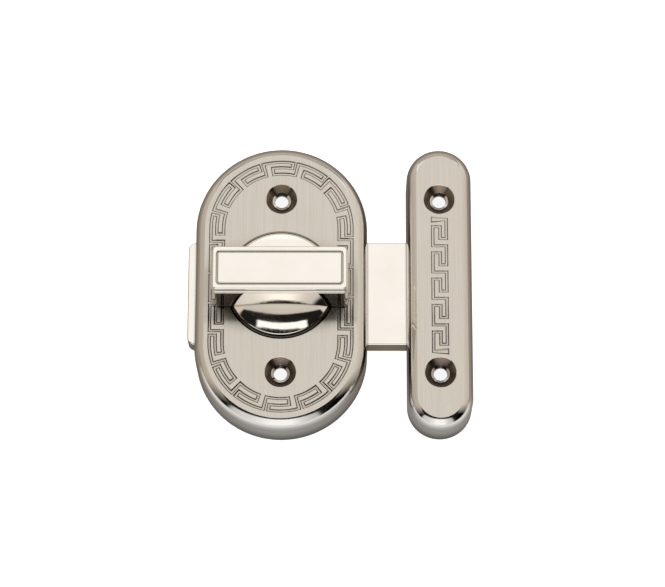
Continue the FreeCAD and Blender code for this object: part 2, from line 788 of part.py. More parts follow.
def make_back_plate_screws():
    screws = []
    head = "sizes.plate_screw_head / 2"
    shank = "sizes.plate_screw_diameter / 2"
    for number, (sign_x, sign_y) in enumerate(plate_screw_sides, start=1):
        x = sign_x + "sizes.plate_screw_offset"
        y = sign_y + "places.boss_y"
        name = "plate_screw_%d" % number
        flat_head = cone(name + "_head", head, shank, head + " - " + shank, x, y,
                         "sizes.press_gap")
        stem = cylinder(name + "_stem", shank, "sizes.plate_screw_length - sizes.press_gap",
                        x, y, "sizes.press_gap")
        slot = block(name + "_slot", "sizes.plate_screw_head", "sizes.plate_screw_slot",
                     "sizes.plate_screw_slot + sizes.press_gap",
                     x + " - sizes.plate_screw_head / 2",
                     y + " - sizes.plate_screw_slot / 2")
        screws.append(cut(name, union(name + "_solid", [flat_head, stem]), slot))
    group = document.addObject("Part::Compound", "back_plate_screws")
    group.Links = screws
    return group


# Bolt: flat bar with a cross slot for the crank pin, a relief for the crank's screw
# and a groove in its underside for the leaf spring.

def make_bolt():
    body = body_named("bolt")
    outline = sketch_on(body, "bolt_outline", lift="places.bolt_bottom")
    rectangle(outline, "places.bolt_left", "places.bolt_right", "places.bolt_low",
              "places.bolt_high")
    pad(body, "bolt_bar", outline, "places.bolt_thickness")
    fillet(body, "bolt_tail_corners", "sizes.bolt_tail_corner",
           lambda edge: upright(edge) and middle(edge).x < 0)
    fillet(body, "bolt_nose_corners", "sizes.bolt_nose_corner",
           lambda edge: upright(edge) and middle(edge).x > value("places.keeper_x") / 2)
    fillet(body, "bolt_top_edges", "sizes.bolt_edge_round",
           lambda edge: lies_at(edge, value("places.bolt_top")))
    relief = sketch_on(body, "relief_outline", lift="places.bolt_top")
    rectangle(relief, "places.relief_low", "places.relief_right", "places.relief_low",
              "places.relief_high")
    pocket(body, "screw_relief", relief, "places.relief_depth")
    slot = sketch_on(body, "slot_outline", lift="places.bolt_top")
    rectangle(slot, "places.slot_left", "places.slot_right", "places.slot_low",
              "places.slot_high")
    pocket(body, "cross_slot", slot)
    groove = sketch_on(body, "groove_outline", lift="places.bolt_bottom")
    rectangle(groove, "places.groove_left", "places.groove_right", "places.groove_low",
              "places.groove_high")
    pocket(body, "spring_groove", groove, "places.groove_depth", upward=True)
    return body


# Leaf spring: a bowed strip with a flat tab, riveted to the back plate under the bolt.

def make_bolt_spring():
    centre_z = "sizes.plate_thickness + sizes.leaf_rise - places.leaf_radius"
    low_y = "places.leaf_y - sizes.leaf_width / 2"
    rings = []
    for name, grow in (("leaf_outside", " + sizes.leaf_sheet"), ("leaf_inside", "")):
        made = cylinder(name, "places.leaf_radius" + grow, "sizes.leaf_width", "0",
                        "places.leaf_y + sizes.leaf_width / 2", centre_z)
        made.Placement.Rotation = FreeCAD.Rotation(Vector(1, 0, 0), 90)
        rings.append(made)
    hoop = cut("leaf_hoop", *rings)
    window = block("leaf_window", "sizes.leaf_length", "sizes.leaf_width",
                   "sizes.leaf_rise + 2 * sizes.leaf_sheet", "-sizes.leaf_length / 2", low_y,
                   "sizes.plate_thickness")
    bow = document.addObject("Part::MultiCommon", "leaf_bow")
    bow.Shapes = [hoop, window]
    tab = block("leaf_tab_plate", "sizes.leaf_tab + 2 * sizes.leaf_sheet", "sizes.leaf_width",
                "sizes.leaf_sheet", "places.leaf_left", low_y, "sizes.plate_thickness")
    hole = cylinder("leaf_hole", "sizes.rivet_diameter / 2 + sizes.press_gap",
                    "3 * sizes.leaf_sheet", "places.rivet_x", "places.leaf_y",
                    "sizes.plate_thickness - sizes.leaf_sheet")
    return cut("bolt_spring", union("leaf_strip", [bow, tab]), hole)


def make_spring_rivet():
    shank = cylinder("rivet_shank", "sizes.rivet_diameter / 2",
                     "sizes.plate_thickness + sizes.leaf_sheet", "places.rivet_x",
                     "places.leaf_y")
    head = cylinder("rivet_head", "sizes.rivet_head_diameter / 2", "sizes.rivet_head_height",
                    "places.rivet_x", "places.leaf_y",
                    "sizes.plate_thickness + sizes.leaf_sheet")
    return union("spring_rivet", [shank, head])


# Thumb turn: dome, round spigot and reeded rectangular grip in one casting.

def make_thumb_turn():
    body = body_named("turn_casting")
    profile = sketch_on(body, "dome_profile", "XZ_Plane")
    dome_profile(profile)
    dome = body.newObject("PartDesign::Revolution", "dome")
    dome.Profile = profile
    dome.ReferenceAxis = (profile, ["V_Axis"])
    dome.Angle = 360
    fillet(body, "dome_edge_round", "sizes.dome_edge_round",
           lambda edge: lies_at(edge, value("places.dome_shoulder")))
    slab(body, "grip_block", "places.reed_length", "places.reed_width", "places.reed_corner",
         "places.grip_bottom", "places.block_height")
    slab(body, "low_groove", "places.neck_length", "places.neck_width", "places.neck_corner",
         "places.block_top", "sizes.reed_groove_height")
    slab(body, "reed", "places.reed_length", "places.reed_width", "places.reed_corner",
         "places.reed_bottom", "sizes.reed_height")
    slab(body, "high_groove", "places.neck_length", "places.neck_width", "places.neck_corner",
         "places.reed_top", "sizes.reed_groove_height")
    slab(body, "rim", "sizes.rim_length", "sizes.rim_width", "sizes.rim_corner",
         "places.rim_bottom", "sizes.rim_height")
    valley = sketch_on(body, "valley_outline", lift="places.grip_top")
    rounded_rectangle(valley, "places.valley_length", "places.valley_width",
                      "places.valley_corner")
    pocket(body, "panel_valley", valley, "sizes.panel_groove_depth")
    slab(body, "panel", "sizes.panel_length", "sizes.panel_width", "sizes.panel_corner",
         "places.grip_top - sizes.panel_groove_depth", "sizes.panel_groove_depth")
    round_grip(body)
    bore = block("spindle_socket", "sizes.square_side + 2 * sizes.press_gap",
                 "sizes.square_side + 2 * sizes.press_gap", "sizes.square_reach + " + beyond,
                 "-sizes.square_side / 2 - sizes.press_gap",
                 "-sizes.square_side / 2 - sizes.press_gap",
                 "places.crank_top - " + beyond)
    return cut("thumb_turn", body, bore)


def slab(body, name, length, width, corner, low, height):
    outline = sketch_on(body, name + "_outline", lift=low)
    rounded_rectangle(outline, length, width, corner)
    return pad(body, name, outline, height)


def dome_profile(sketch):
    """Half section: spigot, flat underside, edge band and the shallow crown as an arc."""
    spigot = value("places.spigot_radius")
    foot = value("places.crank_top")
    under = value("places.dome_bottom")
    edge = value("places.dome_radius")
    shoulder = value("places.dome_shoulder")
    crown = value("places.dome_crown")
    rise = crown - shoulder
    sphere = (edge ** 2 + rise ** 2) / (2 * rise)
    lean = math.asin(edge / sphere)
    spots = [(0, foot), (spigot, foot), (spigot, under), (edge, under), (edge, shoulder)]
    for start, end in zip(spots, spots[1:]):
        sketch.addGeometry(Part.LineSegment(Vector(*start, 0), Vector(*end, 0)))
    circle = Part.Circle(Vector(0, crown - sphere, 0), Vector(0, 0, 1), sphere)
    sketch.addGeometry(Part.ArcOfCircle(circle, math.pi / 2 - lean, math.pi / 2))
    sketch.addGeometry(Part.LineSegment(Vector(0, crown, 0), Vector(0, foot, 0)))
    for line in range(6):
        after = (line + 1) % 6
        sketch.addConstraint(Sketcher.Constraint("Coincident", line, 2, after, 1))
    pin_point(sketch, 0, 1, "foot", "0", "places.crank_top")
    pin_point(sketch, 1, 1, "spigot_foot", "places.spigot_radius", "places.crank_top")
    pin_point(sketch, 2, 1, "spigot_root", "places.spigot_radius", "places.dome_bottom")
    pin_point(sketch, 3, 1, "dome_under", "places.dome_radius", "places.dome_bottom")
    pin_point(sketch, 4, 1, "dome_shoulder", "places.dome_radius", "places.dome_shoulder")
    pin_point(sketch, 5, 1, "dome_crown", "0", "places.dome_crown")
    sketch.addConstraint(Sketcher.Constraint("PointOnObject", 4, 3, -2))


def round_grip(body):
    """Rounds the rim, the groove round the panel, the reed and the block's upper edge."""
    top = value("places.grip_top")
    round_outline(body, "rim_round", "sizes.rim_round", top, "sizes.rim")
    round_outline(body, "valley_round", "sizes.panel_groove_round", top, "places.valley")
    round_outline(body, "panel_round", "sizes.panel_round", top, "sizes.panel")
    round_outline(body, "rim_foot_round", "sizes.rim_foot_round", value("places.rim_bottom"),
                  "sizes.rim")
    round_outline(body, "reed_top_round", "sizes.reed_round", value("places.reed_top"),
                  "places.reed")
    round_outline(body, "reed_foot_round", "sizes.reed_round", value("places.reed_bottom"),
                  "places.reed")
    round_outline(body, "block_round", "sizes.block_round", value("places.block_top"),
                  "places.reed")


def round_outline(body, name, radius, level, outline):
    """Rounds the edges at one level that lie on a rounded rectangle about the axis."""
    half_x = value(outline + "_length") / 2
    half_y = value(outline + "_width") / 2

    def on_outline(edge):
        if not lies_at(edge, level):
            return False
        return all(abs(abs(spot.X) - half_x) < 1e-4 or abs(abs(spot.Y) - half_y) < 1e-4
                   for spot in edge.Vertexes)

    fillet(body, name, radius, on_outline)


def make_square_spindle():
    bar = block("spindle_bar", "sizes.square_side", "sizes.square_side",
                "sizes.crank_thickness + sizes.square_reach",
                "-sizes.square_side / 2", "-sizes.square_side / 2", "places.crank_bottom")
    hole = cylinder("spindle_tapping", "sizes.crank_screw_diameter / 2 + sizes.press_gap",
                    "sizes.crank_screw_length + sizes.pilot_spare",
                    z="places.crank_bottom - sizes.crank_washer_height")
    return cut("square_spindle", bar, hole)


# Bush in the face wall, and the plastic washer that the dome sits on.

def make_spindle_bush():
    sleeve = cylinder("bush_sleeve", "places.bush_radius",
                      "places.recess_floor - places.bush_bottom", z="places.bush_bottom")
    flange = cylinder("bush_flange", "sizes.bush_flange_diameter / 2",
                      "sizes.bush_flange_height", z="places.bush_bottom")
    bore = cylinder("bush_bore", "places.spigot_radius + sizes.running_gap",
                    "sizes.case_height", z="places.bush_bottom - " + beyond)
    return cut("spindle_bush", union("bush_solid", [sleeve, flange]), bore)


def make_seat_washer():
    return ring("seat_washer", "sizes.seat_washer_diameter / 2",
                "places.spigot_radius + 2 * sizes.running_gap", "sizes.seat_washer_height",
                "places.recess_floor")


# Disc spring on the crank, pressed flat against the bush when it is fitted.

def make_spring_washer():
    body = body_named("spring_washer")
    profile = sketch_on(body, "spring_profile", "XZ_Plane")
    bore = "places.spigot_radius + 2 * sizes.running_gap"
    edge = "sizes.spring_washer_diameter / 2"
    low = "places.crank_top"
    sheet_up = " + sizes.spring_washer_sheet"
    cone_up = " + sizes.spring_washer_cone"
    polygon(profile, [(bore, low + cone_up), (edge, low), (edge, low + sheet_up),
                      (bore, low + sheet_up + cone_up)])
    turned = body.newObject("PartDesign::Revolution", "spring_turned")
    turned.Profile = profile
    turned.ReferenceAxis = (profile, ["V_Axis"])
    turned.Angle = 360
    return body


# Crank: hub on the square spindle and an arm out to the pin.

def turned_to_rest(thing):
    """Turns a piece of the crank from +Y to the pin's place with the bolt thrown."""
    thing.Placement.Rotation = FreeCAD.Rotation(Vector(0, 0, 1), 0)
    thing.setExpression("Placement.Rotation.Angle", "-sizes.crank_half_swing_deg")
    return thing


def make_crank_plate():
    hub = cylinder("crank_hub", "sizes.crank_hub_diameter / 2", "sizes.crank_thickness",
                   z="places.crank_bottom")
    end = cylinder("crank_end", "sizes.crank_arm_width / 2", "sizes.crank_thickness",
                   "places.pin_x", "places.pin_y", "places.crank_bottom")
    arm = block("crank_arm", "sizes.crank_arm_width", "sizes.crank_radius",
                "sizes.crank_thickness",
                "-sizes.crank_arm_width / 2 * cos(sizes.crank_half_swing_deg)",
                "sizes.crank_arm_width / 2 * sin(sizes.crank_half_swing_deg)",
                "places.crank_bottom")
    turned_to_rest(arm)
    square = block("crank_square", "sizes.square_side + 2 * sizes.press_gap",
                   "sizes.square_side + 2 * sizes.press_gap",
                   "sizes.crank_thickness + 2 * " + beyond,
                   "-sizes.square_side / 2 - sizes.press_gap",
                   "-sizes.square_side / 2 - sizes.press_gap",
                   "places.crank_bottom - " + beyond)
    rivet = cylinder("crank_rivet_hole", "sizes.crank_rivet_diameter / 2 + sizes.press_gap",
                     "sizes.crank_thickness + 2 * " + beyond, "places.pin_x",
                     "places.pin_y", "places.crank_bottom - " + beyond)
    return cut("crank_plate", union("crank_blank", [hub, end, arm]),
               union("crank_tools", [square, rivet]))


def make_crank_pin():
    pin = cylinder("pin_body", "sizes.crank_pin_diameter / 2",
                   "places.crank_bottom - sizes.plate_thickness - sizes.slot_play",
                   "places.pin_x", "places.pin_y", "sizes.plate_thickness + sizes.slot_play")
    rivet = cylinder("pin_rivet", "sizes.crank_rivet_diameter / 2", "sizes.crank_thickness",
                     "places.pin_x", "places.pin_y", "places.crank_bottom")
    return union("crank_pin", [pin, rivet])


def make_crank_screw():
    head = cylinder("crank_screw_cap", "sizes.crank_screw_head / 2",
                    "sizes.crank_screw_head_height", z="places.crank_head_bottom")
    stem = cylinder("crank_screw_stem", "sizes.crank_screw_diameter / 2",
                    "sizes.crank_screw_length", z="places.crank_washer_bottom")
    slot = block("crank_screw_groove", "sizes.crank_screw_head", "sizes.crank_screw_slot",
                 "sizes.crank_screw_slot", "-sizes.crank_screw_head / 2",
                 "-sizes.crank_screw_slot / 2", "places.crank_head_bottom")
    return cut("crank_screw", union("crank_screw_solid", [head, stem]), slot)


def make_crank_washer():
    return ring("crank_screw_washer", "sizes.crank_washer_diameter / 2",
                "sizes.crank_screw_diameter / 2 + sizes.press_gap",
                "sizes.crank_washer_height", "places.crank_washer_bottom")


finished(make_housing(), "housing")
finished(make_keeper(), "keeper")
finished(make_back_plate(), "back_plate")
finished(make_back_plate_screws(), "back_plate_screws")
finished(make_bolt(), "bolt")
finished(make_bolt_spring(), "bolt_spring")
finished(make_spring_rivet(), "spring_rivet")
finished(make_thumb_turn(), "thumb_turn")
finished(make_square_spindle(), "square_spindle")
finished(make_spindle_bush(), "spindle_bush")
finished(make_seat_washer(), "seat_washer")
finished(make_spring_washer(), "spring_washer")
finished(make_crank_plate(), "crank_plate")
finished(make_crank_pin(), "crank_pin")
finished(make_crank_screw(), "crank_screw")
finished(make_crank_washer(), "crank_screw_washer")
document.recompute()

# Every object has to be sound before anything is written.
for thing in document.Objects:
    if "Invalid" in thing.State or "Error" in thing.State:
        raise RuntimeError(thing.Name + " did not build")
for thing in sub_parts:
    if thing.Shape.isNull() or not thing.Shape.isValid():
        raise RuntimeError(thing.Label + " has no sound shape")

os.makedirs("parts", exist_ok=True)
for thing in sub_parts:
    thing.Shape.exportStep(os.path.join("parts", thing.Label + ".step"))
    print("%-20s %3d solids %10.2f mm3" % (thing.Label, len(thing.Shape.Solids),
                                           thing.Shape.Volume))
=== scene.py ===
import json
import math

import bmesh
import bpy
from mathutils import Matrix, Vector


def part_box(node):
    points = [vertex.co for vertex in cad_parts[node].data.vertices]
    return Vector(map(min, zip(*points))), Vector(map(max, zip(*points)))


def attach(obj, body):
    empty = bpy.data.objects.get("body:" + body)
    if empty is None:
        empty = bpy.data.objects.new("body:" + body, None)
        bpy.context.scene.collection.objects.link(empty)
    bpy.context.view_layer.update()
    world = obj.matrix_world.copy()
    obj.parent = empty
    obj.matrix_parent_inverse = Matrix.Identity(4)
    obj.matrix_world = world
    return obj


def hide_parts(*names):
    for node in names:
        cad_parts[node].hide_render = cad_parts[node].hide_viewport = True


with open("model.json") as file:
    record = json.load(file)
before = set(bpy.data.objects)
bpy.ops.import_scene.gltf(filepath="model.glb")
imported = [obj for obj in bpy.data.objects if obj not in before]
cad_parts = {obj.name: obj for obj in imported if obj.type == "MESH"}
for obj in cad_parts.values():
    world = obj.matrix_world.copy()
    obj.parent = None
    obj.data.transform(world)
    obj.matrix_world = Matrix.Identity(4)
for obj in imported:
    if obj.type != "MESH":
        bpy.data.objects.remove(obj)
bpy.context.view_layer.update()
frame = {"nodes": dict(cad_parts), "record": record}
scene = bpy.context.scene
nodes = frame["nodes"]
millimetre = 0.001
white = (1, 1, 1, 1)
black = (0, 0, 0, 1)


# Small helpers that add nodes to a tree and give back what they put out.

def feed(tree, value, socket):
    if isinstance(value, bpy.types.NodeSocket):
        tree.links.new(value, socket)
    else:
        socket.default_value = value


def addMath(tree, operation, *values):
    node = tree.nodes.new("ShaderNodeMath")
    node.operation = operation
    for socket, value in zip(node.inputs, values):
        feed(tree, value, socket)
    return node.outputs[0]


def addSquare(tree, value):
    return addMath(tree, "MULTIPLY", value, value)


def addVectors(tree, operation, first, second):
    node = tree.nodes.new("ShaderNodeVectorMath")
    node.operation = operation
    feed(tree, first, node.inputs[0])
    feed(tree, second, node.inputs[1])
    return node.outputs["Value" if operation == "DISTANCE" else "Vector"]


def addSplit(tree, vector):
    node = tree.nodes.new("ShaderNodeSeparateXYZ")
    tree.links.new(vector, node.inputs[0])
    return node.outputs


def addAttribute(tree, name):
    node = tree.nodes.new("ShaderNodeAttribute")
    node.attribute_name = name
    return node.outputs["Fac"]


def addNoise(tree, vector, scale, detail, roughness=0.5):
    node = tree.nodes.new("ShaderNodeTexNoise")
    feed(tree, scale, node.inputs["Scale"])
    node.inputs["Detail"].default_value = detail
    node.inputs["Roughness"].default_value = roughness
    tree.links.new(vector, node.inputs["Vector"])
    return node.outputs["Fac"]


def addRange(tree, value, fromMin, fromMax, toMin, toMax):
    node = tree.nodes.new("ShaderNodeMapRange")
    limits = {"From Min": fromMin, "From Max": fromMax, "To Min": toMin, "To Max": toMax}
    for label, limit in limits.items():
        node.inputs[label].default_value = limit
    tree.links.new(value, node.inputs["Value"])
    return node.outputs["Result"]


def addMix(tree, factor, first, second, kind="RGBA"):
    node = tree.nodes.new("ShaderNodeMix")
    node.data_type = kind
    feed(tree, factor, node.inputs["Factor"])
    feed(tree, first, node.inputs["A"])
    feed(tree, second, node.inputs["B"])
    return node.outputs["Result"]


def addBump(tree, height, strength, distance):
    node = tree.nodes.new("ShaderNodeBump")
    node.inputs["Distance"].default_value = distance
    feed(tree, strength, node.inputs["Strength"])
    tree.links.new(height, node.inputs["Height"])
    return node.outputs["Normal"]


def addRamp(tree, value, stops):
    low, high = stops[0][0], stops[-1][0]
    ramp = tree.nodes.new("ShaderNodeValToRGB")
    while len(ramp.color_ramp.elements) < len(stops):
        ramp.color_ramp.elements.new(0.5)
    for element, (place, shade) in zip(ramp.color_ramp.elements, stops):
        element.position = (place - low) / (high - low)
        element.color = shade if isinstance(shade, tuple) else (shade, shade, shade, 1)
    tree.links.new(addRange(tree, value, low, high, 0.0, 1.0), ramp.inputs["Fac"])
    return ramp.outputs["Color"]


# Shared effects, as node groups that give out values and normals.

def makeGroup(name, inputs, outputs):
    group = bpy.data.node_groups.new(name, "ShaderNodeTree")
    for sockets, side in ((inputs, "INPUT"), (outputs, "OUTPUT")):
        for label, kind in sockets.items():
            group.interface.new_socket(label, in_out=side, socket_type="NodeSocket" + kind)
    given = group.nodes.new("NodeGroupInput").outputs
    result = group.nodes.new("NodeGroupOutput").inputs
    return group, given, result


def addGroup(tree, group, vector, values):
    node = tree.nodes.new("ShaderNodeGroup")
    node.node_tree = group
    tree.links.new(vector, node.inputs["Vector"])
    for label, value in values.items():
        node.inputs[label].default_value = value
    return node.outputs


brushingSettings = {
    "fine": (1.0, 3.0, 0.65),  # scale, detail and roughness of the noise
    "bands": (0.13, 2.0),
    "fineShare": 0.7,
    "bandShare": 0.3,
    "relief": 0.00002,
}


def makeBrushing(settings):
    group, given, result = makeGroup(
        "brushing",
        {"Vector": "Vector", "Scale": "Vector", "Strength": "Float"},
        {"Streaks": "Float", "Bands": "Float", "Normal": "Vector"})
    lined = addVectors(group, "MULTIPLY", given["Vector"], given["Scale"])
    fine = addNoise(group, lined, *settings["fine"])
    bands = addNoise(group, lined, *settings["bands"])
    streaks = addMath(group, "ADD", addMath(group, "MULTIPLY", fine, settings["fineShare"]),
                      addMath(group, "MULTIPLY", bands, settings["bandShare"]))
    normal = addBump(group, streaks, given["Strength"], settings["relief"])
    group.links.new(streaks, result["Streaks"])
    group.links.new(bands, result["Bands"])
    group.links.new(normal, result["Normal"])
    return group


handlingSettings = {
    "detail": 4.0,
    "smear": (0.4, 0.72),
    "stretch": (900.0, 260.0, 400.0),
    "scratchScale": 0.55,
    "scratchWidth": 0.012,
}


def makeHandling(settings):
    group, given, result = makeGroup(
        "handling", {"Vector": "Vector", "Size": "Float"}, {"Smear": "Float", "Scratch": "Float"})
    cloud = addNoise(group, given["Vector"], given["Size"], settings["detail"])
    smear = addRange(group, cloud, *settings["smear"], 0.0, 1.0)
    crack = group.nodes.new("ShaderNodeTexVoronoi")
    crack.feature = "DISTANCE_TO_EDGE"
    crack.inputs["Scale"].default_value = settings["scratchScale"]
    stretched = addVectors(group, "MULTIPLY", given["Vector"], settings["stretch"])
    group.links.new(stretched, crack.inputs["Vector"])
    scratch = addRange(group, crack.outputs["Distance"], 0.0, settings["scratchWidth"], 1.0, 0.0)
    group.links.new(smear, result["Smear"])
    group.links.new(addMath(group, "MULTIPLY", scratch, smear), result["Scratch"])
    return group


def makeHollowMask():  # 1 inside an upright cylinder, 0 outside
    group, given, result = makeGroup(
        "hollowMask",
        {"Vector": "Vector", "Centre": "Vector", "Radius": "Float", "Bottom": "Float",
         "Top": "Float"},
        {"Mask": "Float"})
    flat = addVectors(group, "MULTIPLY", given["Vector"], (1.0, 1.0, 0.0))
    span = addVectors(group, "DISTANCE", flat, given["Centre"])
    near = addMath(group, "LESS_THAN", span, given["Radius"])
    height = addSplit(group, given["Vector"])["Z"]
    under = addMath(group, "LESS_THAN", height, given["Top"])
    over = addMath(group, "GREATER_THAN", height, given["Bottom"])
    mask = addMath(group, "MULTIPLY", near, addMath(group, "MULTIPLY", under, over))
    group.links.new(mask, result["Mask"])
    return group


brushing = makeBrushing(brushingSettings)
handling = makeHandling(handlingSettings)
hollowMask = makeHollowMask()


# Materials

noiseReach = (0.3, 0.7)  # the part of a noise's range that is in use
cornerSamples = 8


def startMaterial(name, settings):
    material = bpy.data.materials.new(name)
    material.use_nodes = True
    tree = material.node_tree
    shader = tree.nodes["Principled BSDF"]
    shader.inputs["Metallic"].default_value = settings.get("metallic", 1.0)
    coordinates = tree.nodes.new("ShaderNodeTexCoord").outputs["Object"]
    return material, tree, shader, coordinates


# Painted shade: mixes a dark colour into the base colour where ambient occlusion finds other
# surfaces close by, in corners and beside and under parts.
def addCornerShade(tree, color, settings, share=1.0):
    nearby = tree.nodes.new("ShaderNodeAmbientOcclusion")
    nearby.samples = cornerSamples
    nearby.inputs["Distance"].default_value = settings["cornerReach"]
    shadeAmount = addRange(tree, nearby.outputs["AO"], *settings["cornerRange"], 1.0, 0.0)
    return addMix(tree, addMath(tree, "MULTIPLY", shadeAmount, share), color, settings["corner"])


def addHollow(tree, coordinates, place, limits):
    radius, bottom, top = limits
    return addGroup(tree, hollowMask, coordinates, {
        "Centre": (*place, 0.0), "Radius": radius, "Bottom": bottom, "Top": top})["Mask"]


def addTangent(tree, shader, across):
    turn = tree.nodes.new("ShaderNodeVectorTransform")
    turn.vector_type = "VECTOR"
    turn.convert_from = "OBJECT"
    turn.convert_to = "WORLD"
    turn.inputs["Vector"].default_value = across
    tree.links.new(turn.outputs["Vector"], shader.inputs["Tangent"])


satinSettings = {
    "color": (0.655, 0.605, 0.530, 1),
    "darker": (0.57, 0.52, 0.445, 1),
    "roughness": (0.20, 0.24),
    "rolled": 0.10,  # roughness of the rolled edges, which aren't brushed
    "rolledColor": (0.74, 0.71, 0.675, 1),
    "streakReach": (0.35, 0.65),
    "streakShare": 0.8,
    "lines": (5200.0, 45.0, 420.0),
    "bump": 0.07,
    "across": (1.0, 0.0, 0.05),
    "marks": 120.0,
    "smearShare": 0.02,
    # painted shade: the dark colour of the groove's sloped walls, for the shade in the engraved
    # channel
    "groove": (0.38, 0.32, 0.26, 1),
    # painted shade: dark colour, reach and range of the ambient occlusion shade
    "corner": (0.035, 0.028, 0.022, 1),
    "cornerReach": 0.011,
    "cornerRange": (0.58, 0.86),
    "cornerShadeSouth": (-0.0085, -0.0040, 1.0, 0.35),  # from y, to y and the share at each: the painted shade is full south of the grip and weaker north of it, like a cast shadow
    # painted shade: the countersinks get a dark colour for the shade inside them
    "sink": (0.26, 0.205, 0.16, 1),
    "sinkPlaces": ((0.0, 0.0235), (0.0, -0.0235), (0.0414, 0.0235), (0.0414, -0.0235)),
    "sinkRange": (0.00415, 0.01187, 0.01343),  # radius, bottom and top
    "sinkRoughness": 0.27,
    # painted shade and light on the recess ring around the dome: dark to the south, light to the
    # north
    "recessShade": (0.19, 0.165, 0.14, 1),
    "recessNorthLight": (0.85, 0.79, 0.70, 1),
    "recessTurn": (-0.006, 0.008),  # from this y to that y the painted shade on the south of the ring turns to the painted light on its north
    "recessRange": (0.0152, 0.0130, 0.01345),
}


def makeSatinNickel(settings):
    material, tree, shader, coordinates = startMaterial("satinNickel", settings)
    lines = addGroup(tree, brushing, coordinates,
                     {"Scale": settings["lines"], "Strength": settings["bump"]})
    marks = addGroup(tree, handling, coordinates, {"Size": settings["marks"]})
    brushed = addAttribute(tree, "brushed")
    north = addSplit(tree, coordinates)["Y"]

    streak = addRange(tree, lines["Streaks"], *settings["streakReach"],
                      settings["streakShare"], 0.0)
    color = addMix(tree, streak, settings["color"], settings["darker"])
    color = addMix(tree, brushed, settings["rolledColor"], color)
    sinks = 0.0
    for place in settings["sinkPlaces"]:
        mask = addHollow(tree, coordinates, place, settings["sinkRange"])
        sinks = addMath(tree, "MAXIMUM", sinks, mask)
    # Painted shade: the countersinks are coloured dark.
    color = addMix(tree, sinks, color, settings["sink"])
    # Painted shade on the south of the dome's recess ring, turning to painted light on its north.
    recessShade = addHollow(tree, coordinates, (0.0, 0.0), settings["recessRange"])
    ring = addMix(tree, addRange(tree, north, *settings["recessTurn"], 0.0, 1.0),
                  settings["recessShade"], settings["recessNorthLight"])
    color = addMix(tree, recessShade, color, ring)
    # Painted shade on the groove's sloped walls.
    color = addMix(tree, addAttribute(tree, "groove"), color, settings["groove"])
    # Painted shade from ambient occlusion, full south of the grip and weaker north of it.
    share = addRange(tree, north, *settings["cornerShadeSouth"])
    color = addCornerShade(tree, color, settings, share)
    tree.links.new(color, shader.inputs["Base Color"])

    roughness = addRange(tree, lines["Bands"], *noiseReach, *settings["roughness"])
    smeared = addMath(tree, "ADD", roughness,
                      addMath(tree, "MULTIPLY", marks["Smear"], settings["smearShare"]))
    turned = addMix(tree, brushed, settings["rolled"], smeared, "FLOAT")
    dulled = addMath(tree, "MULTIPLY", sinks, settings["sinkRoughness"])
    tree.links.new(addMath(tree, "MAXIMUM", turned, dulled), shader.inputs["Roughness"])
    tree.links.new(lines["Normal"], shader.inputs["Normal"])
    tree.links.new(brushed, shader.inputs["Anisotropic"])
    addTangent(tree, shader, settings["across"])
    return material


polishedSettings = {
    "color": (0.91, 0.86, 0.785, 1),
    "darker": (0.86, 0.805, 0.72, 1),
    "roughness": (0.035, 0.08),
    "marks": 120.0,
    "smearShare": 0.6,
    "scratchShare": 0.12,
    "ripple": 0.03,
    "rippleNoise": (260.0, 2.0),
    "rippleDepth": 0.0004,
    # painted shade: dark colour, reach and range of the ambient occlusion shade in tight corners
    "corner": (0.22, 0.17, 0.13, 1),
    "cornerReach": 0.0007,
    "cornerRange": (0.45, 0.90),
}


def makePolishedNickel(settings):
    material, tree, shader, coordinates = startMaterial("polishedNickel", settings)
    marks = addGroup(tree, handling, coordinates, {"Size": settings["marks"]})
    color = addMix(tree, addMath(tree, "MULTIPLY", marks["Smear"], settings["smearShare"]),
                   settings["color"], settings["darker"])
    roughness = addRange(tree, marks["Smear"], 0.0, 1.0, *settings["roughness"])
    scratched = addMath(tree, "ADD", roughness,
                        addMath(tree, "MULTIPLY", marks["Scratch"], settings["scratchShare"]))
    ripple = addNoise(tree, coordinates, *settings["rippleNoise"])
    normal = addBump(tree, ripple, settings["ripple"], settings["rippleDepth"])
    # Painted shade from ambient occlusion in tight corners.
    tree.links.new(addCornerShade(tree, color, settings), shader.inputs["Base Color"])
    tree.links.new(scratched, shader.inputs["Roughness"])
    tree.links.new(normal, shader.inputs["Normal"])
    return material


platedSettings = {
    "zincPlate": {"color": (0.62, 0.63, 0.66, 1), "darker": (0.47, 0.48, 0.5, 1),
                  "roughness": (0.28, 0.42), "lines": (900.0, 5200.0, 900.0)},
    "springSteel": {"color": (0.36, 0.36, 0.38, 1), "darker": (0.22, 0.21, 0.24, 1),
                    "roughness": (0.24, 0.36), "lines": (60.0, 5200.0, 800.0)},
    "brass": {"color": (0.78, 0.6, 0.3, 1), "darker": (0.6, 0.42, 0.19, 1),
              "roughness": (0.2, 0.34), "lines": (700.0, 700.0, 6500.0)},
}
platedShared = {"bump": 0.1, "marks": 420.0}


def makePlated(name):
    settings = {**platedSettings[name], **platedShared}
    material, tree, shader, coordinates = startMaterial(name, settings)
    lines = addGroup(tree, brushing, coordinates,
                     {"Scale": settings["lines"], "Strength": settings["bump"]})
    marks = addGroup(tree, handling, coordinates, {"Size": settings["marks"]})
    color = addMix(tree, marks["Smear"], settings["color"], settings["darker"])
    roughness = addRange(tree, lines["Streaks"], *noiseReach, *settings["roughness"])
    tree.links.new(color, shader.inputs["Base Color"])
    tree.links.new(roughness, shader.inputs["Roughness"])
    tree.links.new(lines["Normal"], shader.inputs["Normal"])
    return material


nylonSettings = {
    "metallic": 0.0,
    "color": (0.86, 0.85, 0.8, 1),
    "darker": (0.78, 0.76, 0.69, 1),
    "roughness": (0.4, 0.55),
    "marks": 120.0,
    "grain": (2600.0, 2.0),
}


